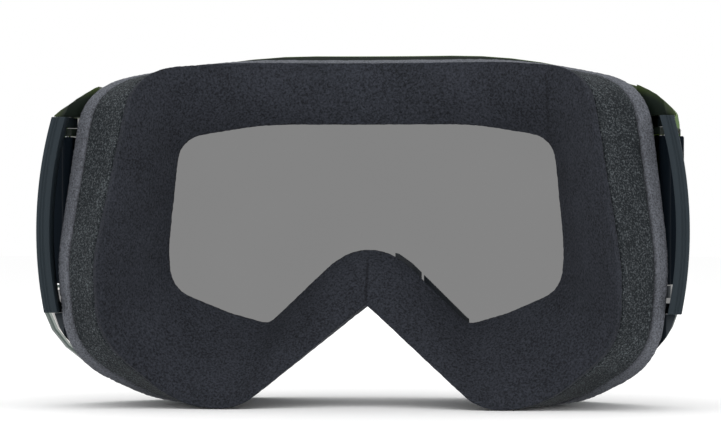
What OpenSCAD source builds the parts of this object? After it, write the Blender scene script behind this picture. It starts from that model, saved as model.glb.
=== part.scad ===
/* [Overall] */
// Half of the widest width of the face foam
foam_half_w = 87; // [80:0.5:94]
// Height of the top edge above the two cheek lobes
top_z = 100; // [90:0.5:108]
// Height of the peak of the nose notch in the foam
notch_z = 29.6; // [24:0.2:34]
// Distance from the centre to the lowest stretch of each cheek lobe
lobe_x = 46; // [42:0.5:50]

/* [Lens] */
// Outer radius of the cylindrical lens
lens_r = 104; // [98:0.5:112]
// Thickness of the lens sheet
lens_t = 1.0; // [0.8:0.1:1.4]
// How far the lens edge stands out beyond the frame
lens_over = 0.3; // [0:0.1:0.6]
// Extra reach of the lens at its lower left corner, where a finger lifts it
lens_grip = 4.4; // [0:0.1:5]
// Thickness of the seal strip between lens and frame
seal_t = 1.0; // [0.6:0.1:1.4]
// Width of the seal strip
seal_w = 3.6; // [2:0.1:5]

/* [Frame] */
// Thickness of the front rim that carries the lens
rim_t = 3.0; // [2:0.1:4]
// Thickness of the wall from the rim back to the face plate
wall_t = 2.0; // [1.4:0.1:2.6]
// How far the rim opening stands back behind the foam window
port_back = 6.2; // [4:0.1:7]
// Width of one vent in the wall
vent_w = 17; // [10:0.5:20]
// Length of one vent from front to back
vent_l = 7; // [4:0.5:9]
// Height of the vent foam pads
vent_foam_h = 14; // [10:0.5:18]
// Thickness of the vent foam pads
vent_foam_t = 2.6; // [1.5:0.1:4]
// Depth of the frame's side between the rim and the face plate, at the hinges
side_depth = 11.24; // [9:0.02:14]

/* [Face plate and foam] */
// Radius of the surface that the foam is glued to
plate_r = 108; // [104:0.5:114]
// Thickness of the flexible face plate
plate_t = 2.0; // [1.4:0.1:2.4]
// How far the plate edge stands in from the foam edge
plate_inset = 0.6; // [0.4:0.1:1.5]
// How far the lip along the nose stays below the foam arch
nose_lip = 0.7; // [0.2:0.1:1.6]
// How much wider the foam window is at the plate than at the face
window_flare = 2.4; // [0.8:0.1:3]
// Radius of the surface that touches the face
face_r = 84; // [80:0.5:90]
// Foam thickness at the centre of the forehead
foam_t = 20; // [16:0.5:24]
// Share of the foam thickness taken by the light base layer
base_share = 0.2; // [0.15:0.01:0.3]
// Share of the foam thickness up to the underside of the fleece layer
fleece_share = 0.86; // [0.8:0.01:0.92]
// Share of the face's wrap that the window edge follows
window_wrap = 0.5; // [0.3:0.05:1]
// How far the cheek lobes reach back towards the face, past the middle of the forehead
cheek_rise = 29; // [16:0.5:32]
// Height where the cheek lobes start to reach back
cheek_top_z = 44; // [36:0.5:50]
// Height of the crown of the face layer
crown = 2.2; // [0.5:0.1:3]
// How far the middle of the foam side is drawn in
draw_in = 1.2; // [0.4:0.1:2]

/* [Window] */
// Width of the foam beside the window, at the window's widest
side_band = 30.2; // [27:0.2:34]
// Height of the foam above the window
top_band = 19.4; // [16:0.2:23]
// Height of the lowest corners of the window
window_low_z = 23.8; // [21:0.2:28]

/* [Outriggers] */
// How far the strap bars stand out beyond the foam
bar_reach = 5.4; // [5:0.1:8]
// Thickness of a strap bar
bar_t = 3.8; // [3:0.1:4.4]
// Width of a strap bar from front to back
bar_w = 7; // [6:0.5:9]
// Radius of the bar's long outward bow
bar_bow_r = 120; // [110:1:140]
// Height of the lower end of the strap slot
slot_z0 = 29.6; // [28.6:0.1:30.4]
// Distance from the top edge down to the upper end of the strap slot
slot_drop = 20.4; // [19.4:0.1:21]
// Height of each hinge arm
arm_h = 2.8; // [2.2:0.1:3.2]
// Diameter of a hinge pin
hinge_pin_d = 1.8; // [1.4:0.1:2]
// Depth of a hinge pin in the frame
hinge_pin_grip = 2.2; // [1.6:0.1:2.6]

/* [Lens locks] */
// Diameter of a lock pin
lock_pin_d = 1.5; // [1.2:0.1:1.8]
// Thickness of the lug below a lock
lug_low_h = 3.4; // [2:0.1:4]
// Thickness of the lug above a lock
lug_high_h = 2.1; // [1.6:0.1:3]

/* [Tear-off posts] */
// Distance of each tear-off post in from the side of the foam
post_in = 15; // [12:0.5:18]
// Height of each tear-off post
post_z = 52; // [44:0.5:60]
// Diameter of a tear-off post
post_d = 4.8; // [4:0.1:6]
// Diameter of the post's shank in the lens
post_shank_d = 3.8; // [3:0.1:3.9]
// Length of a tear-off post in front of the lens
post_l = 3.6; // [3:0.1:5]

/* [Clearances] */
// Radial clearance of a turning pin
pin_gap = 0.05; // [0.03:0.01:0.08]
// Clearance between pieces that pass each other
gap = 0.3; // [0.2:0.05:0.5]
// Glue line between two foam layers
glue = 0.05; // [0.03:0.01:0.1]

/* [Hidden] */
$fn = 96;

// Radii of the lens and of the rim behind it, about the lens axis
lens_in = lens_r - lens_t;
rim_out = lens_in - seal_t;
rim_in = rim_out - rim_t;
window_half_w = foam_half_w - side_band;
window_top_z = top_z - top_band;
// The face plate and the face follow their own vertical cylinders further back
side_x = foam_half_w - 3.7;
hinge_x = side_x + 1.9;
plate_front_r = plate_r + plate_t;
plate_c = side_depth + sqrt(pow(plate_front_r, 2) - pow(hinge_x, 2)) - sqrt(pow(rim_in, 2) - pow(hinge_x, 2));
face_c = face_r + plate_c - plate_r + foam_t;
// Hinge axes of the lens lock and the outrigger, set off from the face plate beside them
lock_x = side_x + 2;
lock_r = 1.7;
lock_y = plate_c - sqrt(pow(plate_front_r + lock_r + gap + 0.1, 2) - pow(lock_x, 2));
lock_swing = lens_in - gap - 0.1 - norm([lock_x, lock_y]);
hinge_y = lock_y - 3.66;
// The bar sits behind the hinge with its front edge clear of the lock
slot_z1 = top_z - slot_drop;
bar_half_w = foam_half_w + bar_reach;
bar_y0 = lock_y + lock_r + 2.34;
bar_z = (slot_z0 + slot_z1) / 2 - 4.6;
bar_out_c = bar_half_w - bar_bow_r;
// Heights of the pieces stacked beside the strap slot
lug_z0 = slot_z0 + 1.6;
lug_z1 = lug_z0 + lug_low_h;
lug_z2 = slot_z1 - gap - lug_high_h;
lug_z3 = slot_z1 - gap;
arm_z0 = slot_z0 - arm_h;
arm_z1 = slot_z1 + arm_h;
lens_notch_x = side_x + 5.7;
post_x = foam_half_w - post_in;
arc_steps = 5;
edge_steps = 4;

// Outlines are corner lists of [x, z, radius], for the wearer's left half from the top down
foam_half = [
    [45, top_z + 0.3, 150], [foam_half_w - 6, top_z - 8.2, 16], [foam_half_w + 0.3, 40, 80],
    [foam_half_w - 2.6, 12.4, 21], [lobe_x + 15, 0, 30], [lobe_x - 9, 0, 16]];
face_half = [
    [40, top_z - 1.6, 150], [foam_half_w - 24, top_z - 4.2, 12], [foam_half_w - 14.2, 40, 60],
    [foam_half_w - 14.5, 19, 20], [lobe_x + 5, 0, 28], [lobe_x - 12.3, 0, 15]];
window_half = [
    [30, window_top_z, 80], [window_half_w - 3.2, window_top_z - 4, 8], [window_half_w, 44, 50],
    [window_half_w - 1.2, window_low_z + 9.4, 9], [window_half_w - 17, window_low_z + 2.6, 16],
    [lobe_x - 17.2, window_low_z - 0.6, 4]];
rim_half = [
    [44, top_z + 2.2, 150], [foam_half_w + 1.6, top_z - 12, 11], [foam_half_w + 3.6, 50, 80],
    [foam_half_w + 1.2, 20, 20], [lobe_x + 13, 0, 26], [lobe_x - 8, 0, 14]];
wall_half = [
    [44, top_z - 1.4, 150], [side_x - 1.8, top_z - 12, 12], [side_x, 50, 80],
    [side_x - 1.2, 14.5, 18], [lobe_x + 11, 2.4, 22], [lobe_x - 6, 2.4, 12]];
notch_apex = [0, notch_z, 1.5];
face_apex = [0, notch_z - 0.6, 1.5];
window_apex = [0, window_low_z + 27.3, 16];
rim_apex = [0, notch_z + 5.6, 5];
wall_apex = [0, notch_z + 7.6, 5.5];

// Full outline from its half and its apex on the centre plane
function whole(half, apex) = let(n = len(half)) concat(
    half, [apex], [for (i = [n - 1 : -1 : 0]) [-half[i][0], half[i][1], half[i][2]]]);
function xz(p) = [p[0], p[1]];
function unit(v) = v / norm(v);
// Inward normal of an edge on an outline that runs clockwise
function inward(a, b) = let(u = unit(xz(b) - xz(a))) [u[1], -u[0]];
// Outline moved inwards by d, its corner radii kept parallel
function inset(c, d) = let(n = len(c)) [for (i = [0 : n - 1])
    let(a = c[(i + n - 1) % n], b = c[i], e = c[(i + 1) % n],
        m = inward(a, b), k = inward(b, e), t = xz(e) - xz(b), s = xz(b) - xz(a),
        turn = s[0] * t[1] - s[1] * t[0],
        p = xz(b) + (m + k) * d / (1 + m * k))
    [p[0], p[1], max(0.4, b[2] + (turn < 0 ? -d : d))]];
// Arc points that round one corner
function corner(a, b, e, k) =
    let(u = unit(xz(a) - xz(b)), v = unit(xz(e) - xz(b)), half_angle = acos(u * v) / 2,
        cut = b[2] / tan(half_angle), c = xz(b) + unit(u + v) * b[2] / sin(half_angle),
        p = xz(b) + u * cut - c, q = xz(b) + v * cut - c,
        a0 = atan2(p[1], p[0]), raw = atan2(q[1], q[0]) - a0,
        sweep = raw > 180 ? raw - 360 : raw < -180 ? raw + 360 : raw)
    [for (j = [0 : k]) c + b[2] * [cos(a0 + sweep * j / k), sin(a0 + sweep * j / k)]];
function arcs(c, k) = let(n = len(c)) [for (i = [0 : n - 1])
    corner(c[(i + n - 1) % n], c[i], c[(i + 1) % n], k)];
// Points of an outline, with no points between its corners
function outline(c, k = arc_steps) = [for (a = arcs(c, k)) each a];
// Points of an outline with its straight edges divided too, for the foam rings
function ring(c, k = arc_steps, e = edge_steps) = let(all = arcs(c, k), n = len(all))
    [for (i = [0 : n - 1]) let(p = all[i][k], q = all[(i + 1) % n][0])
        each concat(all[i], [for (j = [1 : e - 1]) p + (q - p) * j / e])];

foam_line = whole(foam_half, notch_apex);
face_line = whole(face_half, face_apex);
window_line = whole(window_half, window_apex);
rim_line = whole(rim_half, rim_apex);
wall_line = whole(wall_half, wall_apex);
// The lens follows the rim, a little proud of it, and reaches further at the lower left
lens_low = inset(rim_line, seal_t - 0.4);
lens_fit = inset(rim_line, -lens_over);
lens_wide = inset(rim_line, -lens_over - lens_grip);
lens_line = [for (i = [0 : len(rim_line) - 1])
    i == 3 ? lens_wide[i] : (i > 3 && i < 9) ? lens_low[i] : lens_fit[i]];

function plate_y(x) = plate_c - sqrt(plate_r * plate_r - x * x);
// The face's surface wraps round it, and towards the cheeks it lies further back
function wrap_y(x) = face_r - sqrt(face_r * face_r - x * x);
function cheek_part(z) = max(0, 1 - z / cheek_top_z);
function face_y(p) = face_c - face_r + wrap_y(p[0]) * (1 - cheek_part(p[1])) + cheek_rise * cheek_part(p[1]);
function window_y(p) = face_c - face_r + wrap_y(p[0]) * window_wrap;
function front_y(x) = -sqrt(rim_in * rim_in - x * x);
function plate_front_y(x) = plate_c - sqrt(plate_front_r * plate_front_r - x * x);
function wall_mid_y(x) = (front_y(x) + plate_front_y(x)) / 2;

// Foam rings: outer edge, edge of the face layer, and window edge
outer_ring = ring(foam_line);
face_ring = ring(face_line);
window_ring = ring(window_line);
window_base_ring = ring(inset(window_line, -window_flare));
ring_n = len(outer_ring);
// Side of the foam at share g of its height, drawn in by the wanted amount
function side_row(out, g, lift = 0) = [for (i = [0 : ring_n - 1])
    let(a = out ? outer_ring[i] : window_base_ring[i], b = out ? face_ring[i] : window_ring[i],
        in_way = out ? window_ring[i] - outer_ring[i] : outer_ring[i] - window_ring[i],
        flat = abs(a[1]) < 0.5 ? 0 : 1,
        w = draw_in * 4 * g * (1 - g) * flat,
        p = a + (b - a) * g + w * unit(in_way),
        y = plate_y(a[0]) * (1 - g) + (out ? face_y(b) : window_y(b)) * g)
    [p[0], y + lift, max(0, p[1])]];
// Crowned face of the foam at share f of the way from its outer edge to the window
function face_row(f) = [for (i = [0 : ring_n - 1])
    let(a = face_ring[i], b = window_ring[i], p = a + (b - a) * f)
    [p[0], face_y(a) * (1 - f) + window_y(b) * f + crown * 4 * f * (1 - f), p[1]]];
foam_back_y = max([for (f = [0, 0.12]) for (p = face_row(f)) p[1]]);
// The origin is under the middle of the whole goggles
shift_y = (lens_r - foam_back_y) / 2;

// Closed ring of foam through rows of points that run round its section.
// The last face is split the other way, so that it lies flat on the layer below.
module foam_ring(rows) {
    m = len(rows);
    n = ring_n;
    polyhedron(
        points = [for (r = rows) each r],
        faces = [for (j = [0 : m - 1]) for (i = [0 : n - 1])
            let(a = j * n + i, b = j * n + (i + 1) % n,
                c = ((j + 1) % m) * n + (i + 1) % n, d = ((j + 1) % m) * n + i)
            each j == m - 1 ? [[a, b, d], [b, c, d]] : [[a, b, c], [a, c, d]]]);
}

// Flat outline in the X-Z plane, given depth from y0 to y1
module slab(points, y0, y1) {
    translate([0, y1, 0]) rotate([90, 0, 0]) linear_extrude(y1 - y0) polygon(points);
}
module rod(r, c = 0) {
    translate([0, c, -20]) cylinder(h = top_z + 40, r = r);
}
module shell(r_out, r_in) {
    difference() {
        rod(r_out);
        rod(r_in);
    }
}
// Everything is drawn about the lens axis and then moved back over the origin
module placed() {
    translate([0, shift_y, 0]) children();
}
module side(s) {
    placed() if (s > 0) children(); else mirror([1, 0, 0]) children();
}
module both() {
    children();
    mirror([1, 0, 0]) children();
}

// Opening through the lens edge where a lock's hook passes round it
module lens_notch() {
    translate([lens_notch_x, -70, lug_z1 - 0.2]) cube([20, 60, lug_z2 - lug_z1 + 0.4]);
}
module post_place() {
    translate([0, 0, post_z]) rotate([0, 0, asin(post_x / lens_r)]) rotate([90, 0, 0]) children();
}

module lens() {
    color("dimgray") placed() difference() {
        intersection() {
            slab(outline(lens_line), -lens_r - 5, -20);
            shell(lens_r, lens_in);
        }
        both() lens_notch();
        both() post_place() cylinder(h = lens_r + 20, r = post_shank_d / 2 + pin_gap);
    }
}

module lens_seal() {
    color("black") placed() intersection() {
        difference() {
            slab(outline(inset(wall_line, -0.2)), -lens_r - 5, -20);
            slab(outline(inset(wall_line, seal_w)), -lens_r - 6, -10);
        }
        shell(lens_in, rim_out);
    }
}

// Space beside the wall where the lock and the outrigger arms turn
module side_pocket() {
    translate([side_x + 0.3, -80, arm_z0 - gap]) cube([30, 70, arm_z1 - arm_z0 + 2 * gap]);
}
module front_rim() {
    color("darkslategray") placed() difference() {
        intersection() {
            slab(outline(rim_line), -lens_r - 5, -20);
            shell(rim_out, rim_in);
        }
        slab(outline(inset(window_line, -port_back)), -lens_r - 6, -10);
        both() side_pocket();
    }
}
// Depth between the rim and the face plate, as a solid to be cut to outline
module depth_space() {
    difference() {
        intersection() {
            rod(rim_in);
            translate([-110, -lens_r - 5, -20]) cube([220, lens_r, top_z + 40]);
        }
        rod(plate_front_r, plate_c);
    }
}
module wall() {
    intersection() {
        depth_space();
        difference() {
            slab(outline(wall_line), -lens_r - 5, -20);
            slab(outline(inset(wall_line, wall_t)), -lens_r - 6, -10);
        }
    }
}
// Corner blocks above and below the side pocket hold the hinge pins
module corner_block(z0, z1) {
    intersection() {
        depth_space();
        slab(outline(rim_line), -lens_r - 5, hinge_y + 7.5);
        translate([side_x - 6, -70, z0]) cube([20, 60, z1 - z0]);
    }
}
module lug(z0, z1) {
    intersection() {
        depth_space();
        union() {
            translate([0, 0, z0]) linear_extrude(z1 - z0) polygon([
                [side_x - 2.4, lock_y - 8], [side_x, lock_y - 8], [lock_x, lock_y - lock_r],
                [lock_x, lock_y + lock_r], [side_x - 2.4, lock_y + lock_r]]);
            translate([lock_x, lock_y, z0]) cylinder(h = z1 - z0, r = lock_r);
        }
    }
}
module vent(x, z) {
    translate([x - vent_w / 2, wall_mid_y(x) - vent_l / 2, z]) cube([vent_w, vent_l, vent_foam_h]);
}
module frame() {
    color("darkslategray") placed() difference() {
        union() {
            wall();
            both() {
                corner_block(arm_z1 + gap, top_z - 8);
                corner_block(arm_z0 - gap - 12.5, arm_z0 - gap);
                lug(lug_z0, lug_z1);
                lug(lug_z2, lug_z3);
            }
        }
        both() {
            translate([hinge_x, hinge_y, arm_z0 - gap - hinge_pin_grip])
                cylinder(h = arm_z1 - arm_z0 + 2 * gap + 2 * hinge_pin_grip, r = hinge_pin_d / 2);
            translate([lock_x, lock_y, lug_z0]) cylinder(h = lug_z3 - lug_z0, r = lock_pin_d / 2);
            for (x = [12, 34]) vent(x, top_z - 8);
            for (x = [lobe_x - 6]) vent(x + 6, -6);
        }
    }
}

module face_plate() {
    lip_gap = 0.8;
    color("dimgray") placed() intersection() {
        difference() {
            rod(plate_front_r, plate_c);
            rod(plate_r, plate_c);
        }
        union() {
            difference() {
                slab(outline(inset(foam_line, plate_inset)), -lens_r, -10);
                slab(outline(inset(window_line, -window_flare - 1)), -lens_r - 1, -5);
            }
            both() intersection() {
                difference() {
                    slab(outline(inset(window_line, -window_flare - 1.5)), -lens_r, -10);
                    slab(outline(inset(window_line, -nose_lip)), -lens_r - 1, -5);
                }
                for (x = [[5.7, 13.4], [13.4 + lip_gap, 27.6]])
                    translate([x[0], -lens_r, 20]) cube([x[1] - x[0], lens_r - 10, 32]);
            }
        }
    }
}

module foam_base() {
    color("gray") placed() foam_ring([
        side_row(true, 0), side_row(true, base_share),
        side_row(false, base_share), side_row(false, 0)]);
}
module foam_middle() {
    mid = (base_share + fleece_share) / 2;
    color("dimgray") placed() foam_ring([
        side_row(true, base_share, glue), side_row(true, mid), side_row(true, fleece_share),
        side_row(false, fleece_share), side_row(false, mid), side_row(false, base_share, glue)]);
}
module foam_face() {
    color("darkslategray") placed() foam_ring([
        side_row(true, fleece_share, glue), face_row(0), face_row(0.12), face_row(0.35),
        face_row(0.65), face_row(0.88), face_row(1), side_row(false, fleece_share, glue)]);
}

// Pads of open foam lie against the inside of the wall, behind its vents
module vent_pad(x0, x1, z0, z1) {
    intersection() {
        difference() {
            rod(rim_in);
            rod(plate_front_r, plate_c);
        }
        difference() {
            slab(outline(inset(wall_line, wall_t)), -lens_r, 0);
            slab(outline(inset(wall_line, wall_t + vent_foam_t)), -lens_r - 1, 1);
        }
        translate([x0, -lens_r, z0]) cube([x1 - x0, lens_r, z1 - z0]);
    }
}
module top_vent_foam() {
    color("black") placed() vent_pad(-lobe_x - 2, lobe_x + 2, top_z - vent_foam_h, top_z);
}
module left_bottom_vent_foam() {
    color("black") side(1) vent_pad(lobe_x - 12, lobe_x + 14, 0, vent_foam_h - 2);
}
module right_bottom_vent_foam() {
    color("black") side(-1) vent_pad(lobe_x - 12, lobe_x + 14, 0, vent_foam_h - 2);
}

// Strap bar bowed outwards, with an arm at each end that turns on a pin
module bar_blank() {
    y1 = bar_y0 + bar_w;
    z0 = arm_z0;
    z1 = arm_z1;
    bow = [[bar_half_w - 16, z1 + 4, 1], [bar_half_w + 6, z1 + 4, 1], [bar_half_w + 6, z0 + 16, 2],
           [bar_half_w - 1.2, z0 - 0.4, 4], [bar_half_w - 16, z0 - 2, 1]];
    intersection() {
        translate([bar_out_c, y1, bar_z]) rotate([90, 0, 0]) difference() {
            cylinder(h = bar_w, r = bar_bow_r, $fn = 360);
            translate([0, 0, -1]) cylinder(h = bar_w + 2, r = bar_bow_r - bar_t, $fn = 360);
        }
        slab(outline(bow), bar_y0 - 1, y1 + 1);
        translate([side_x, bar_y0 - 1, z0]) cube([20, bar_w + 2, z1 - z0]);
    }
}
module arm(z) {
    tip = bar_half_w - bar_t - 0.4;
    translate([0, 0, z]) linear_extrude(arm_h) polygon([
        [hinge_x - 1.3, hinge_y - 1.5], [hinge_x + 1.3, hinge_y - 1.5], [tip, hinge_y + 4.6],
        [tip, bar_y0 + 4], [tip - 1.4, bar_y0 + 4], [tip - 1.4, bar_y0 - 0.4],
        [hinge_x - 1.3, hinge_y + 2.6]]);
    translate([hinge_x, hinge_y, z]) cylinder(h = arm_h, r = 2);
}
module outrigger() {
    difference() {
        union() {
            bar_blank();
            arm(arm_z0);
            arm(slot_z1);
        }
        translate([hinge_x, hinge_y, arm_z0 - 1])
            cylinder(h = arm_z1 - arm_z0 + 2, r = hinge_pin_d / 2 + pin_gap);
    }
}
module left_outrigger() {
    color("slategray") side(1) outrigger();
}
module right_outrigger() {
    color("slategray") side(-1) outrigger();
}
module hinge_pins() {
    h = arm_h + gap + hinge_pin_grip;
    translate([hinge_x, hinge_y, slot_z1]) cylinder(h = h, r = hinge_pin_d / 2);
    translate([hinge_x, hinge_y, arm_z0 - gap - hinge_pin_grip]) cylinder(h = h, r = hinge_pin_d / 2);
}
module left_hinge_pins() {
    color("silver") side(1) hinge_pins();
}
module right_hinge_pins() {
    color("silver") side(-1) hinge_pins();
}

// Door-like lever on a vertical pin, whose front edge hooks round the lens edge.
// Behind the lens it stays within the radius that swings clear of the lens.
module lens_lock() {
    z0 = lug_z1 + gap;
    h = lug_z2 - lug_z1 - 2 * gap;
    edge = lens_notch_x + 0.25;
    lip = lens_r + 0.3;
    in_x = side_x + 0.6;
    neck = sqrt(pow(lock_swing, 2) - pow(edge - 1.6 - lock_x, 2));
    root = sqrt(pow(lock_swing, 2) - pow(edge - lock_x, 2));
    difference() {
        translate([0, 0, z0]) union() {
            linear_extrude(h) polygon([
                [in_x, lock_y], [in_x, lock_y - 0.9 * lock_swing], [edge - 1.6, lock_y - neck],
                [edge, lock_y - root], [edge, -sqrt(pow(lip, 2) - pow(edge, 2))],
                [edge - 1.4, -sqrt(pow(lip, 2) - pow(edge - 1.4, 2))],
                [edge - 0.8, -sqrt(pow(lip + 1, 2) - pow(edge - 0.8, 2))],
                [edge + 1.3, -sqrt(pow(lip + 1, 2) - pow(edge + 1.3, 2))],
                [edge + 1.3, lock_y - root + 1.6], [lock_x + 1.7, lock_y - root / 2],
                [lock_x + 1.6, lock_y]]);
            translate([lock_x, lock_y, 0]) cylinder(h = h, r = lock_r);
        }
        translate([lock_x, lock_y, z0 - 1]) cylinder(h = h + 2, r = lock_pin_d / 2 + pin_gap);
    }
}
module left_lens_lock() {
    color("black") side(1) lens_lock();
}
module right_lens_lock() {
    color("black") side(-1) lens_lock();
}
module lock_pin() {
    translate([lock_x, lock_y, lug_z0]) cylinder(h = lug_z3 - lug_z0, r = lock_pin_d / 2);
}
module left_lock_pin() {
    color("silver") side(1) lock_pin();
}
module right_lock_pin() {
    color("silver") side(-1) lock_pin();
}

// Round post through the lens, with a thin head behind it
module tear_off_post() {
    post_place() {
        translate([0, 0, rim_out + 0.1]) cylinder(h = seal_t - 0.2, r = post_d / 2 + 1.4);
        translate([0, 0, rim_out + 0.1]) cylinder(h = lens_t + seal_t, r = post_shank_d / 2);
        translate([0, 0, lens_r]) cylinder(h = post_l, r = post_d / 2);
    }
}
module left_tear_off_post() {
    color("black") side(1) tear_off_post();
}
module right_tear_off_post() {
    color("black") side(-1) tear_off_post();
}

lens();
lens_seal();
front_rim();
frame();
face_plate();
foam_base();
foam_middle();
foam_face();
top_vent_foam();
left_bottom_vent_foam();
right_bottom_vent_foam();
left_outrigger();
right_outrigger();
left_hinge_pins();
right_hinge_pins();
left_lens_lock();
right_lens_lock();
left_lock_pin();
right_lock_pin();
left_tear_off_post();
right_tear_off_post();
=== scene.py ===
import bpy
import bmesh
import math
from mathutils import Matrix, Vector


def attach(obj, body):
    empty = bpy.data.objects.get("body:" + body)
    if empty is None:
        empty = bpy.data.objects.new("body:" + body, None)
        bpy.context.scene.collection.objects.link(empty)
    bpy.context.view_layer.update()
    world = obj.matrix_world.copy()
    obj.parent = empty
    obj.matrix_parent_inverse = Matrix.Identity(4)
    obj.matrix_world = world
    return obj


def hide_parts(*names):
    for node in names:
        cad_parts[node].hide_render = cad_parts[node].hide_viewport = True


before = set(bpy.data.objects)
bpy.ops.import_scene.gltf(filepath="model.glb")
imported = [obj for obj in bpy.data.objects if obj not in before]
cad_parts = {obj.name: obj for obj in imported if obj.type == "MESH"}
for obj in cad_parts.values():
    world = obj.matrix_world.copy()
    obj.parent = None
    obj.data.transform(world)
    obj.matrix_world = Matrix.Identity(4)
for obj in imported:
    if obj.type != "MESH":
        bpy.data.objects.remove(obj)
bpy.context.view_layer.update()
scene = bpy.context.scene

# Camera
# A long lens looks level from the wearer's side, turned 6 degrees towards the wearer's right,
# so more of that side's foam shows, as in the photograph.
photo_width_px = 721
photo_height_px = 438
centre_column_px = 365.5
floor_row_px = 406
scale_px_per_mm = 3.5
camera_turn = math.radians(186)
camera_distance = 1.0
aim_depth = 0.0133
sensor_width = 36
aim_left = (centre_column_px - photo_width_px / 2) / scale_px_per_mm / 1000
aim_height = (floor_row_px - photo_height_px / 2) / scale_px_per_mm / 1000
aim = Vector((-aim_left * math.cos(camera_turn), aim_depth, aim_height))
back = Vector((math.sin(camera_turn), -math.cos(camera_turn), 0))
camera_data = bpy.data.cameras.new("camera")
camera_data.sensor_width = sensor_width
camera_data.lens = scale_px_per_mm * sensor_width * camera_distance * 1000 / photo_width_px
camera_data.clip_start = 0.01
camera = bpy.data.objects.new("camera", camera_data)
scene.collection.objects.link(camera)
camera.location = aim + back * camera_distance
camera.rotation_euler = (-back).to_track_quat("-Z", "Y").to_euler()
scene.camera = camera
scene.view_settings.view_transform = "Standard"

# Floor, surroundings and lamps
# A matt white table in a white room. Gloss and glass see it as plain white,
# and three large soft boxes, above, behind the camera and on the lens side, light it evenly.
floor_size = 8
floor_z = -0.0002
lamp_target = (0, 0, 0.05)


def linear(hex_colour):
    """Linear RGBA of an sRGB hex colour."""
    parts = [int(hex_colour[i:i + 2], 16) / 255 for i in (1, 3, 5)]
    return [c / 12.92 if c <= 0.04045 else ((c + 0.055) / 1.055) ** 2.4 for c in parts] + [1]


def add(tree, kind, inputs=None, **settings):
    """A new node with its settings, its values and its links.

    Sockets that share a name go by number: in a Mix node of colours, 6 and 7 are the two colours.
    """
    made = tree.nodes.new(kind)
    for key, value in settings.items():
        setattr(made, key, value)
    for key, value in (inputs or {}).items():
        if isinstance(value, bpy.types.NodeSocket):
            tree.links.new(value, made.inputs[key])
        else:
            made.inputs[key].default_value = value
    return made


def new_paint(name):
    """A new material, with its node tree and its shader."""
    paint = bpy.data.materials.new(name)
    paint.use_nodes = True
    return paint, paint.node_tree, paint.node_tree.nodes["Principled BSDF"]


bpy.ops.object.select_all(action="DESELECT")
bpy.ops.mesh.primitive_plane_add(size=floor_size, location=(0, 0, floor_z))
floor = bpy.context.object
floor.name = "floor"
floor_paint, tree, shader = new_paint("floor_paint")
shader.inputs["Base Color"].default_value = linear("#FDFDFD")
shader.inputs["Roughness"].default_value = 1
shader.inputs["Specular IOR Level"].default_value = 0
rays = add(tree, "ShaderNodeLightPath")
through = add(tree, "ShaderNodeMath", {0: rays.outputs["Is Glossy Ray"],
                                       1: rays.outputs["Is Transmission Ray"]}, operation="MAXIMUM")
white = add(tree, "ShaderNodeEmission", {"Color": linear("#FFFFFF"), "Strength": 1.0})
both = add(tree, "ShaderNodeMixShader", {0: through.outputs[0], 1: shader.outputs[0], 2: white.outputs[0]})
tree.links.new(both.outputs[0], tree.nodes["Material Output"].inputs["Surface"])
floor.data.materials.append(floor_paint)

world = bpy.data.worlds.new("white_room")
world.use_nodes = True
tree = world.node_tree
tree.nodes.clear()
room = add(tree, "ShaderNodeBackground", {"Color": linear("#FFFFFF"), "Strength": 1.0})
add(tree, "ShaderNodeOutputWorld", {"Surface": room.outputs[0]})
scene.world = world


def soft_box(name, place, width, height, power):
    """A rectangular lamp at a place, turned to the goggles and unseen in their gloss."""
    data = bpy.data.lights.new(name, "AREA")
    data.shape = "RECTANGLE"
    data.size = width
    data.size_y = height
    data.energy = power
    lamp = bpy.data.objects.new(name, data)
    scene.collection.objects.link(lamp)
    lamp.location = place
    lamp.rotation_euler = (Vector(lamp_target) - Vector(place)).to_track_quat("-Z", "Y").to_euler()
    lamp.visible_glossy = False


soft_box("overhead", place=(0, 0.15, 1.1), width=1.4, height=1.2, power=2.8)
soft_box("behind_camera", place=(-0.3, 1.5, 0.6), width=1.2, height=0.8, power=2.4)
soft_box("lens_side", place=(0.3, -1.3, 0.7), width=1.2, height=0.8, power=2.4)

# Face foam
# Three layers of foam glued in a stack and die-cut as one ring: a light grey base, a coarse open
# middle and a thin brushed fleece that touches the face. The cut sides show all three.
foam_layers = {
    "foam_base": {
        "slot": "foam_light", "edge_crease": 0.85, "fuzz_mm": 0.35,
        "paint": {"name": "light_base_foam", "dark": "#3B3D41", "pale": "#757880", "cell_mm": 0.5,
                  "dark_until": 0.34, "pale_from": 0.68, "bump_mm": 0.15}},
    "foam_middle": {
        "slot": "foam_coarse", "edge_crease": 0.85, "fuzz_mm": 0.6,
        "paint": {"name": "coarse_foam", "dark": "#1D2124", "pale": "#6C7276", "cell_mm": 0.5,
                  "dark_until": 0.49, "pale_from": 0.74, "bump_mm": 0.25}},
    "foam_face": {
        "slot": "fleece", "edge_crease": 0.6, "fuzz_mm": 0.3,
        "paint": {"name": "brushed_fleece", "dark": "#16181C", "pale": "#373A42", "cell_mm": 0.6,
                  "dark_until": 0.36, "pale_from": 0.66, "bump_mm": 0.1}},
}
doubles_distance = 0.000002
flat_enough = math.radians(60)
cut_edge_angle = math.radians(38)
rounding_levels = 3
fuzz_grain = 0.0012


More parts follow.
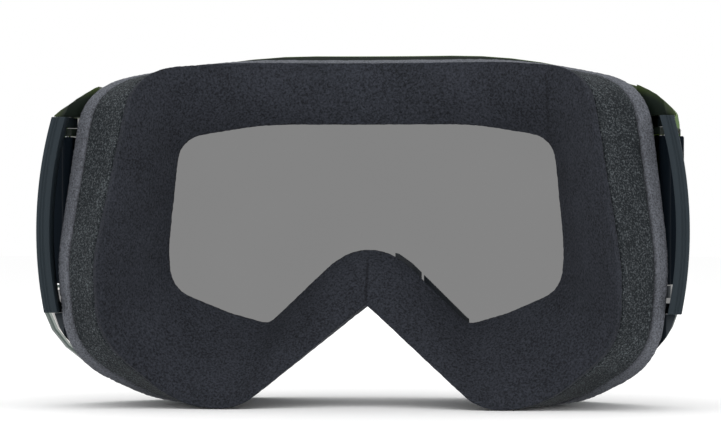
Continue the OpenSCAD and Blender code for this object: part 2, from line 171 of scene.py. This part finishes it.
def foam_material(name, dark, pale, cell_mm, dark_until, pale_from, bump_mm):
    """Open-cell polyurethane foam or brushed fleece.

    It looks dry and speckled: pale cell walls or fibre tips over dark hollows, in faintly uneven patches.
    """
    paint, tree, shader = new_paint(name)
    patch_mm = 11.1
    patch_share = 0.12
    place = add(tree, "ShaderNodeTexCoord").outputs["Object"]
    cells = add(tree, "ShaderNodeTexNoise", {"Vector": place, "Scale": 1000 / cell_mm, "Detail": 3.0,
                                             "Roughness": 0.7})
    patches = add(tree, "ShaderNodeTexNoise", {"Vector": place, "Scale": 1000 / patch_mm, "Detail": 2.0})
    shade = add(tree, "ShaderNodeMix", {0: patch_share, 2: cells.outputs[0], 3: patches.outputs[0]})
    ramp = add(tree, "ShaderNodeValToRGB", {"Fac": shade.outputs[0]})
    ramp.color_ramp.elements[0].position = dark_until
    ramp.color_ramp.elements[0].color = linear(dark)
    ramp.color_ramp.elements[1].position = pale_from
    ramp.color_ramp.elements[1].color = linear(pale)
    tree.links.new(ramp.outputs["Color"], shader.inputs["Base Color"])
    bump = add(tree, "ShaderNodeBump", {"Height": cells.outputs[0], "Strength": 0.6,
                                        "Distance": bump_mm / 1000})
    tree.links.new(bump.outputs[0], shader.inputs["Normal"])
    shader.inputs["Roughness"].default_value = 0.95
    shader.inputs["Specular IOR Level"].default_value = 0.2
    return paint


def cad_copy(node, piece):
    """A joined-up copy of a CAD solid, as a new piece to work on."""
    made = bpy.data.objects.new(piece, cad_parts[node].data.copy())
    scene.collection.objects.link(made)
    made.data.materials.clear()
    bpy.ops.object.select_all(action="DESELECT")
    made.select_set(True)
    bpy.context.view_layer.objects.active = made
    bpy.ops.object.mode_set(mode="EDIT")
    bpy.ops.mesh.select_all(action="SELECT")
    bpy.ops.mesh.remove_doubles(threshold=doubles_distance)
    bpy.ops.object.mode_set(mode="OBJECT")
    return made


def finish_modifiers(piece):
    """Applies every modifier of the piece."""
    bpy.ops.object.select_all(action="DESELECT")
    piece.select_set(True)
    bpy.context.view_layer.objects.active = piece
    for modifier in list(piece.modifiers):
        bpy.ops.object.modifier_apply(modifier=modifier.name)


for node, look in foam_layers.items():
    layer = cad_copy(node, node + "_soft")
    bpy.ops.object.mode_set(mode="EDIT")
    bpy.ops.mesh.select_all(action="SELECT")
    bpy.ops.mesh.tris_convert_to_quads(face_threshold=flat_enough, shape_threshold=flat_enough)
    bpy.ops.mesh.select_all(action="DESELECT")
    bpy.ops.mesh.select_mode(type="EDGE")
    bpy.ops.mesh.edges_select_sharp(sharpness=cut_edge_angle)
    bpy.ops.transform.edge_crease(value=look["edge_crease"])
    bpy.ops.object.mode_set(mode="OBJECT")
    rounding = layer.modifiers.new("rounding", "SUBSURF")
    rounding.levels = rounding_levels
    rounding.render_levels = rounding_levels
    fuzz_texture = bpy.data.textures.new(node + "_fuzz", "CLOUDS")
    fuzz_texture.noise_scale = fuzz_grain
    fuzz = layer.modifiers.new("fuzz", "DISPLACE")
    fuzz.texture = fuzz_texture
    fuzz.texture_coords = "LOCAL"
    fuzz.mid_level = 0.5
    fuzz.strength = look["fuzz_mm"] / 1000
    finish_modifiers(layer)
    bpy.ops.object.shade_smooth()
    layer.data.materials.append(foam_material(**look["paint"]))
    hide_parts(node)
    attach(layer, "goggles")

# Creases in the fleece
# The glued fleece is folded once over the nose and once near the wearer's right temple.
# The folds are too shallow to model, so the shade in them is painted as thin dark lines in its material.
creases = (
    {"x": 0.0, "low_z": 0.0285, "high_z": 0.0425, "painted_shade": 0.5},
    {"x": -0.0523, "low_z": 0.077, "high_z": 0.094, "painted_shade": 0.35},
)
crease_core = 0.0002
crease_side = 0.0006
crease_end = 0.002
tree = bpy.data.materials["brushed_fleece"].node_tree
shader = tree.nodes["Principled BSDF"]
spot = add(tree, "ShaderNodeSeparateXYZ", {0: add(tree, "ShaderNodeTexCoord").outputs["Object"]})
for fold in creases:
    away = add(tree, "ShaderNodeMath", {0: spot.outputs["X"], 1: fold["x"]}, operation="SUBTRACT")
    away = add(tree, "ShaderNodeMath", {0: away.outputs[0]}, operation="ABSOLUTE")
    near = add(tree, "ShaderNodeMapRange", {"Value": away.outputs[0], "From Min": crease_core,
                                            "From Max": crease_side, "To Min": fold["painted_shade"],
                                            "To Max": 0.0})
    start = add(tree, "ShaderNodeMapRange", {"Value": spot.outputs["Z"], "From Min": fold["low_z"],
                                             "From Max": fold["low_z"] + crease_end})
    end = add(tree, "ShaderNodeMapRange", {"Value": spot.outputs["Z"],
                                           "From Min": fold["high_z"] - crease_end,
                                           "From Max": fold["high_z"], "To Min": 1.0, "To Max": 0.0})
    along = add(tree, "ShaderNodeMath", {0: start.outputs[0], 1: end.outputs[0]}, operation="MULTIPLY")
    # Painted shade: the crease lines are darkened where a real fold would lie in shadow.
    painted_crease_shade = add(tree, "ShaderNodeMath", {0: near.outputs[0], 1: along.outputs[0]}, operation="MULTIPLY")
    shade = shader.inputs["Base Color"].links[0].from_socket
    crease_shaded = add(tree, "ShaderNodeMix", {0: painted_crease_shade.outputs[0], 6: shade, 7: linear("#08090B")},
                 data_type="RGBA")
    tree.links.new(crease_shaded.outputs[2], shader.inputs["Base Color"])

# Face plate
# A thin flexible plate, moulded in soft polyurethane and fixed behind the foam, which it carries.
# Its lip along the nose is split into short tongues that stand up a little above the foam.
lip_rise = 0.0006
lip_half_width = 0.0285
lip_low_z = 0.02
lip_high_z = 0.052
lip_least_upward = 0.3
same_plane_angle = math.radians(0.4)
mould_edge_angle = math.radians(35)
mould_smooth_angle = math.radians(32)


def plastic(name, colour, roughness, gloss=0.5):
    """Injection-moulded plastic from a spark-eroded mould.

    It looks satin and faintly uneven. The mould's grain is finer than a pixel, so it is drawn
    a quarter of a millimetre wide.
    """
    paint, tree, shader = new_paint(name)
    grain_mm = 0.25
    grain_depth = 0.00002
    wear_mm = 16.7
    shade_spread = 0.12
    polish_spread = 0.05
    place = add(tree, "ShaderNodeTexCoord").outputs["Object"]
    grain = add(tree, "ShaderNodeTexNoise", {"Vector": place, "Scale": 1000 / grain_mm, "Detail": 2.0})
    wear = add(tree, "ShaderNodeTexNoise", {"Vector": place, "Scale": 1000 / wear_mm, "Detail": 3.0})
    darker = [(1 - shade_spread) * c for c in linear(colour)[:3]] + [1]
    lighter = [(1 + shade_spread) * c for c in linear(colour)[:3]] + [1]
    tint = add(tree, "ShaderNodeMix", {0: wear.outputs[0], 6: darker, 7: lighter}, data_type="RGBA")
    tree.links.new(tint.outputs[2], shader.inputs["Base Color"])
    polish = add(tree, "ShaderNodeMapRange", {"Value": wear.outputs[0], "To Min": roughness - polish_spread,
                                              "To Max": roughness + polish_spread})
    tree.links.new(polish.outputs[0], shader.inputs["Roughness"])
    bump = add(tree, "ShaderNodeBump", {"Height": grain.outputs[0], "Strength": 0.4,
                                        "Distance": grain_depth})
    tree.links.new(bump.outputs[0], shader.inputs["Normal"])
    shader.inputs["Specular IOR Level"].default_value = gloss
    return paint


def moulded(node, piece, round_mm, paint, body):
    """A CAD solid's copy with its edges rounded as a mould leaves them."""
    made = cad_copy(node, piece)
    bpy.ops.object.mode_set(mode="EDIT")
    bpy.ops.mesh.select_all(action="SELECT")
    bpy.ops.mesh.dissolve_limited(angle_limit=same_plane_angle)
    bpy.ops.object.mode_set(mode="OBJECT")
    edges = made.modifiers.new("edges", "BEVEL")
    edges.width = round_mm / 1000
    edges.segments = 2
    edges.limit_method = "ANGLE"
    edges.angle_limit = mould_edge_angle
    edges.use_clamp_overlap = True
    finish_modifiers(made)
    bpy.ops.object.shade_smooth_by_angle(angle=mould_smooth_angle)
    made.data.materials.append(paint)
    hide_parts(node)
    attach(made, body)
    return made


plate_plastic = plastic("flexible_plate_plastic", "#22272C", roughness=0.5, gloss=0.3)
plate = moulded("face_plate", "face_plate_moulded", 0.2, plate_plastic, "goggles")
rising = set()
for face in plate.data.polygons:
    on_lip = abs(face.center.x) < lip_half_width and lip_low_z < face.center.z < lip_high_z
    if on_lip and face.normal.z > lip_least_upward:
        rising.update(face.vertices)
for index in rising:
    plate.data.vertices[index].co.z += lip_rise

# Frame
# The stiff body, moulded in dark olive nylon: front rim, wall with vents, corner blocks and lugs.
# Its upper corners are drawn in to a rounder contour above the outriggers' arms.
# The plastic turns slate towards the floor, and the rim and the corners have a lime edge.
corner_x = 0.078
corner_z = 0.0798
corner_radius = 0.0115
left_pull = 0.0022
right_pull = 0.0011
above_arms_z = 0.0835
pull_fade_height = 0.003
rim_trim_low_z = 0.074
rim_trim_side_x = 0.066
rim_trim_top_z = 0.088
rim_edge_most_y = 0.6
corner_trim_x = 0.076
least_slant = 0.2
most_slant = 0.96
lug_x = 0.083
lug_low_z = 0.0765
lug_high_z = 0.08
slate_until_z = 0.055
olive_from_z = 0.075
painted_glow_start_radius = 0.0085
painted_glow_start_x = 0.070
painted_glow_share = 0.3


def ease_corners(vertices):
    """Draws the two upper corners in towards a rounder contour."""
    for vertex in vertices:
        beside = abs(vertex.co.x) - corner_x
        above = vertex.co.z - corner_z
        if beside > 0 and vertex.co.z > above_arms_z:
            reach = math.hypot(beside, above)
            pull = left_pull if vertex.co.x > 0 else right_pull
            pull *= min(1, (vertex.co.z - above_arms_z) / pull_fade_height)
            pull *= 2 * beside * above / reach ** 2 * min(1, reach / corner_radius)
            vertex.co.x -= math.copysign(pull * math.sqrt(0.5), vertex.co.x)
            vertex.co.z -= pull * math.sqrt(0.5)


frame_plastic = plastic("olive_frame_plastic", "#1B231D", roughness=0.45, gloss=0.3)
body = moulded("frame", "frame_moulded", 0.5, frame_plastic, "goggles")
rim = moulded("front_rim", "front_rim_moulded", 0.3, frame_plastic, "goggles")
ease_corners(body.data.vertices)
ease_corners(rim.data.vertices)
trim = rim.data.attributes.new("trim", "FLOAT", "FACE")
for face in rim.data.polygons:
    on_edge = abs(face.normal.y) < rim_edge_most_y and face.center.z > rim_trim_low_z
    outside = abs(face.center.x) > rim_trim_side_x or face.center.z > rim_trim_top_z
    trim.data[face.index].value = 1.0 if on_edge and outside else 0.0
trim = body.data.attributes.new("trim", "FLOAT", "FACE")
for face in body.data.polygons:
    outward = face.normal.z + math.copysign(1, face.center.x) * face.normal.x
    bevelled = least_slant < face.normal.y < most_slant and outward > least_slant
    at_corner = abs(face.center.x) > corner_trim_x and face.center.z > above_arms_z
    at_lug = abs(face.center.x) > lug_x and lug_low_z < face.center.z < lug_high_z
    lug_edge = at_lug and abs(face.normal.z) > least_slant
    trim.data[face.index].value = 1.0 if (bevelled and at_corner) or lug_edge else 0.0

# The frame's colours
# Mixed over the plastic in turn: slate below, a painted glow of yellower olive on the outer part
# of the upper corners, and lime on the faces marked above as trim.
tree = frame_plastic.node_tree
shader = tree.nodes["Principled BSDF"]
plain = shader.inputs["Base Color"].links[0].from_socket
place = add(tree, "ShaderNodeTexCoord").outputs["Object"]
spot = add(tree, "ShaderNodeSeparateXYZ", {0: place})
fade = add(tree, "ShaderNodeMapRange", {"Value": spot.outputs["Z"], "From Min": slate_until_z,
                                        "From Max": olive_from_z})
faded = add(tree, "ShaderNodeMix", {0: fade.outputs[0], 6: linear("#252D33"), 7: plain}, data_type="RGBA")
across = add(tree, "ShaderNodeMath", {0: spot.outputs["X"]}, operation="ABSOLUTE")
beside = add(tree, "ShaderNodeMath", {0: across.outputs[0], 1: corner_x}, operation="SUBTRACT")
above = add(tree, "ShaderNodeMath", {0: spot.outputs["Z"], 1: corner_z}, operation="SUBTRACT")
offset = add(tree, "ShaderNodeCombineXYZ", {0: beside.outputs[0], 1: above.outputs[0]})
reach = add(tree, "ShaderNodeVectorMath", {0: offset.outputs[0]}, operation="LENGTH")
# Painted glow: yellower olive light painted on the outer part of each upper corner, strongest at its
# rounded contour.
painted_glow = add(tree, "ShaderNodeMapRange", {"Value": reach.outputs["Value"], "From Min": painted_glow_start_radius,
                                        "From Max": corner_radius, "To Max": painted_glow_share})
at_side = add(tree, "ShaderNodeMapRange", {"Value": across.outputs[0], "From Min": painted_glow_start_x,
                                           "From Max": corner_x})
painted_glow = add(tree, "ShaderNodeMath", {0: painted_glow.outputs[0], 1: at_side.outputs[0]}, operation="MULTIPLY")
painted_glow = add(tree, "ShaderNodeMath", {0: painted_glow.outputs[0], 1: fade.outputs[0]}, operation="MULTIPLY")
painted_glow_colour = add(tree, "ShaderNodeMix", {0: painted_glow.outputs[0], 6: faded.outputs[2], 7: linear("#5F7818")},
              data_type="RGBA")
painted = add(tree, "ShaderNodeAttribute", attribute_name="trim")
trimmed = add(tree, "ShaderNodeMix", {0: painted.outputs["Fac"], 6: painted_glow_colour.outputs[2],
                                      7: linear("#7FA31C")}, data_type="RGBA")
tree.links.new(trimmed.outputs[2], shader.inputs["Base Color"])

# Lens, its seal and its tear-off posts
# A sheet of smoke-tinted polycarbonate bent round the frame, on a soft rubber strip, with a nylon post
# each side. Its front face is laid flat, divided evenly and bent back, so that both faces stay true.
# Its lower left corner grips the frame and stands out a little further.
lens_axis_y = 0.0603816
lens_outer_r = 0.104
lens_inner_r = 0.103
edge_round = 0.0002
grip_reach = 0.0019
grip_pivot_x = 0.055
grip_pivot_z = 0.045
grip_top_z = 0.034
grip_fade_height = 0.006
grip_inner_x = 0.06
grip_fade_width = 0.015
edge_strip_widths = (0.0009, 0.0006)
column_width = 0.0025
columns_each_side = 37
row_height = 0.004
row_count = 24
weld_distance = 0.00012
least_edge = 0.0001
sheet_flat_angle = math.radians(1)
sheet_quad_angle = math.radians(10)
sheet_edge_angle = math.radians(50)
sheet_smooth_angle = math.radians(30)
painted_highlight_full_z = 0.040
painted_highlight_none_z = 0.048
green_none_z = 0.06
green_full_z = 0.075

# Clear smoke plastic
# It darkens what is behind it evenly and is too thin to bend it. Its front face alone mirrors the room.
# Its cut edge is a grey-green band of painted shade, greener higher up, with, low down, a painted highlight
# line beside it.
lens_tint, tree, shader = new_paint("smoke_polycarbonate")
place = add(tree, "ShaderNodeTexCoord").outputs["Object"]
haze_mm = 25
strip_tolerance = 0.3
haze = add(tree, "ShaderNodeTexNoise", {"Vector": place, "Scale": 1000 / haze_mm, "Detail": 1.0})
tone = add(tree, "ShaderNodeMix", {0: haze.outputs[0], 6: linear("#828282"), 7: linear("#848484")},
           data_type="RGBA")
height = add(tree, "ShaderNodeSeparateXYZ", {0: place}).outputs["Z"]
# Painted shade on the outermost edge strip, and a painted highlight on the second strip low down.
strip = add(tree, "ShaderNodeAttribute", attribute_name="edge").outputs["Fac"]
outermost = add(tree, "ShaderNodeMath", {0: strip, 1: 1.0, 2: strip_tolerance}, operation="COMPARE")
second = add(tree, "ShaderNodeMath", {0: strip, 1: 2.0, 2: strip_tolerance}, operation="COMPARE")
low_down = add(tree, "ShaderNodeMapRange", {"Value": height, "From Min": painted_highlight_none_z,
                                            "From Max": painted_highlight_full_z})
painted_highlight = add(tree, "ShaderNodeMath", {0: second.outputs[0], 1: low_down.outputs[0]}, operation="MULTIPLY")
high_up = add(tree, "ShaderNodeMapRange", {"Value": height, "From Min": green_none_z,
                                           "From Max": green_full_z})
painted_edge_shade = add(tree, "ShaderNodeMix", {0: high_up.outputs[0], 6: linear("#59635F"), 7: linear("#56703E")},
                data_type="RGBA")
tone = add(tree, "ShaderNodeMix", {0: outermost.outputs[0], 6: tone.outputs[2], 7: painted_edge_shade.outputs[2]},
           data_type="RGBA")
tone = add(tree, "ShaderNodeMix", {0: painted_highlight.outputs[0], 6: tone.outputs[2], 7: linear("#F5F1ED")},
           data_type="RGBA")
tree.links.new(tone.outputs[2], shader.inputs["Base Color"])
shader.inputs["Transmission Weight"].default_value = 1
shader.inputs["Roughness"].default_value = 0
shader.inputs["IOR"].default_value = 1.0
shader.inputs["Coat IOR"].default_value = 1.58
shader.inputs["Coat Roughness"].default_value = 0.03
front = add(tree, "ShaderNodeAttribute", attribute_name="front")
inside = add(tree, "ShaderNodeNewGeometry").outputs["Backfacing"]
coated = add(tree, "ShaderNodeMath", {0: front.outputs["Fac"], 1: inside}, operation="SUBTRACT",
             use_clamp=True)
tree.links.new(coated.outputs[0], shader.inputs["Coat Weight"])

lens_sheet = cad_copy("lens", "lens_sheet")
lens_mesh = bmesh.new()
lens_mesh.from_mesh(lens_sheet.data)
for vertex in lens_mesh.verts:
    vertex.tag = math.hypot(vertex.co.x, vertex.co.y - lens_axis_y) > (lens_outer_r + lens_inner_r) / 2
away = [face for face in lens_mesh.faces if not all(vertex.tag for vertex in face.verts)]
bmesh.ops.delete(lens_mesh, geom=away, context="FACES")
for vertex in lens_mesh.verts:
    vertex.co.y = 0
bmesh.ops.dissolve_limit(lens_mesh, angle_limit=sheet_flat_angle, verts=lens_mesh.verts,
                         edges=lens_mesh.edges)
for vertex in lens_mesh.verts:
    if vertex.is_boundary:
        outward = Vector((vertex.co.x - grip_pivot_x, 0, vertex.co.z - grip_pivot_z)).normalized()
        low_share = min(1, max(0, (grip_top_z - vertex.co.z) / grip_fade_height))
        side_share = min(1, max(0, (vertex.co.x - grip_inner_x) / grip_fade_width))
        vertex.co += outward * grip_reach * (low_share * side_share)
ease_corners(lens_mesh.verts)
edge_layer = lens_mesh.faces.layers.float.new("edge")
for number, strip_width in enumerate(edge_strip_widths, start=1):
    inner = [face for face in lens_mesh.faces if face[edge_layer] == 0]
    strip = bmesh.ops.inset_region(lens_mesh, faces=inner, thickness=strip_width, use_boundary=True)
    for face in strip["faces"]:
        face[edge_layer] = number
lens_mesh.to_mesh(lens_sheet.data)
lens_mesh.free()
bpy.ops.object.mode_set(mode="EDIT")
for column in range(-columns_each_side, columns_each_side + 1):
    bpy.ops.mesh.select_all(action="SELECT")
    bpy.ops.mesh.bisect(plane_co=(column_width * column, 0, 0), plane_no=(1, 0, 0))
for row in range(1, row_count + 1):
    bpy.ops.mesh.select_all(action="SELECT")
    bpy.ops.mesh.bisect(plane_co=(0, 0, row_height * row), plane_no=(0, 0, 1))
bpy.ops.mesh.select_all(action="SELECT")
bpy.ops.mesh.remove_doubles(threshold=weld_distance)
bpy.ops.mesh.dissolve_degenerate(threshold=least_edge)
bpy.ops.mesh.tris_convert_to_quads(face_threshold=sheet_quad_angle, shape_threshold=flat_enough)
bpy.ops.mesh.normals_make_consistent(inside=False)
bpy.ops.object.mode_set(mode="OBJECT")
for vertex in lens_sheet.data.vertices:
    vertex.co.y = lens_axis_y - math.sqrt(lens_outer_r ** 2 - vertex.co.x ** 2)
thick = lens_sheet.modifiers.new("thick", "SOLIDIFY")
thick.thickness = lens_outer_r - lens_inner_r
thick.offset = 1 if lens_sheet.data.polygons[0].normal.y > 0 else -1
edges = lens_sheet.modifiers.new("edges", "BEVEL")
edges.width = edge_round
edges.segments = 2
edges.limit_method = "ANGLE"
edges.angle_limit = sheet_edge_angle
finish_modifiers(lens_sheet)
bpy.ops.object.mode_set(mode="EDIT")
bpy.ops.mesh.select_all(action="SELECT")
bpy.ops.mesh.normals_make_consistent(inside=False)
bpy.ops.object.mode_set(mode="OBJECT")
bpy.ops.object.shade_smooth_by_angle(angle=sheet_smooth_angle)
front_face = lens_sheet.data.attributes.new("front", "FLOAT", "FACE")
for face in lens_sheet.data.polygons:
    reach = math.hypot(face.center.x, face.center.y - lens_axis_y)
    front_face.data[face.index].value = 0.0 if reach < lens_inner_r + edge_round else 1.0
lens_sheet.data.materials.append(lens_tint)
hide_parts("lens")
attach(lens_sheet, "goggles")
seal_rubber = plastic("seal_rubber_black", "#1A1B1C", roughness=0.8)
seal = moulded("lens_seal", "lens_seal_strip", 0.2, seal_rubber, "goggles")
ease_corners(seal.data.vertices)
post_plastic = plastic("post_nylon", "#1B1C1E", roughness=0.35)
for side in ("left", "right"):
    moulded(side + "_tear_off_post", side + "_post", 0.25, post_plastic, "goggles")

# Vent foam
# Strips of open black foam, cut from sheet and pressed in behind the vents.
# They keep dust out and let air through.
vent_foam = foam_material("vent_mesh_foam", "#101112", "#2A2B2D", cell_mm=1.2, dark_until=0.35,
                          pale_from=0.65, bump_mm=0.4)
for node in ("top_vent_foam", "left_bottom_vent_foam", "right_bottom_vent_foam"):
    pad = moulded(node, node + "_pad", 0.3, vent_foam, "goggles")

# Outriggers and lens locks
# Nylon levers that turn on drawn steel pins: the outriggers' bars hold the strap, the locks hook round
# the lens. The outriggers have a soft-touch skin and two fine grooves along the bar's bow.
bar_half_width = 0.0924
bar_bow_radius = 0.12
bar_middle_z = 0.05
bar_back_y = 0.0290862
groove_bow_radii = (0.1188, 0.118)
groove_radius = 0.0003
groove_stand_off = 0.0001
outrigger_plastic = plastic("soft_touch_nylon", "#262F35", roughness=0.6, gloss=0.2)
# The locks sit deep in the slot behind the bars. Their near-black colour and near-zero gloss are painted
# shade for that slot.
lock_plastic_painted_shade = plastic("lock_nylon_painted_shade", "#0F161D", roughness=0.6, gloss=0.02)

# Drawn steel for the pins
# Bright grey metal with faint marks from drawing. The real marks are finer than a pixel,
# so they are drawn about a millimetre long.
pin_steel, tree, shader = new_paint("drawn_steel_pin")
mark_mm = 1.11
place = add(tree, "ShaderNodeTexCoord").outputs["Object"]
marks = add(tree, "ShaderNodeTexNoise", {"Vector": place, "Scale": 1000 / mark_mm, "Detail": 2.0})
tone = add(tree, "ShaderNodeMix", {0: marks.outputs[0], 6: linear("#8E9094"), 7: linear("#B4B6B9")},
           data_type="RGBA")
tree.links.new(tone.outputs[2], shader.inputs["Base Color"])
shader.inputs["Metallic"].default_value = 1
shader.inputs["Roughness"].default_value = 0.3

for side, sign in (("left", 1), ("right", -1)):
    lever = moulded(side + "_outrigger", side + "_outrigger_moulded", 0.5, outrigger_plastic,
                    side + "_outrigger")
    for bow_radius in groove_bow_radii:
        bpy.ops.object.select_all(action="DESELECT")
        bpy.ops.mesh.primitive_torus_add(
            major_radius=bow_radius, minor_radius=groove_radius, major_segments=360, minor_segments=8,
            location=(sign * (bar_half_width - bar_bow_radius), bar_back_y + groove_stand_off,
                      bar_middle_z),
            rotation=(math.radians(90), 0, 0))
        cutter = bpy.context.object
        groove = lever.modifiers.new("groove", "BOOLEAN")
        groove.object = cutter
        groove.solver = "EXACT"
        finish_modifiers(lever)
        bpy.data.objects.remove(cutter)
    moulded(side + "_lens_lock", side + "_lens_lock_moulded", 0.3, lock_plastic_painted_shade,
            side + "_lens_lock")
    for node in (side + "_hinge_pins", side + "_lock_pin"):
        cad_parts[node].data.materials.clear()
        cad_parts[node].data.materials.append(pin_steel)
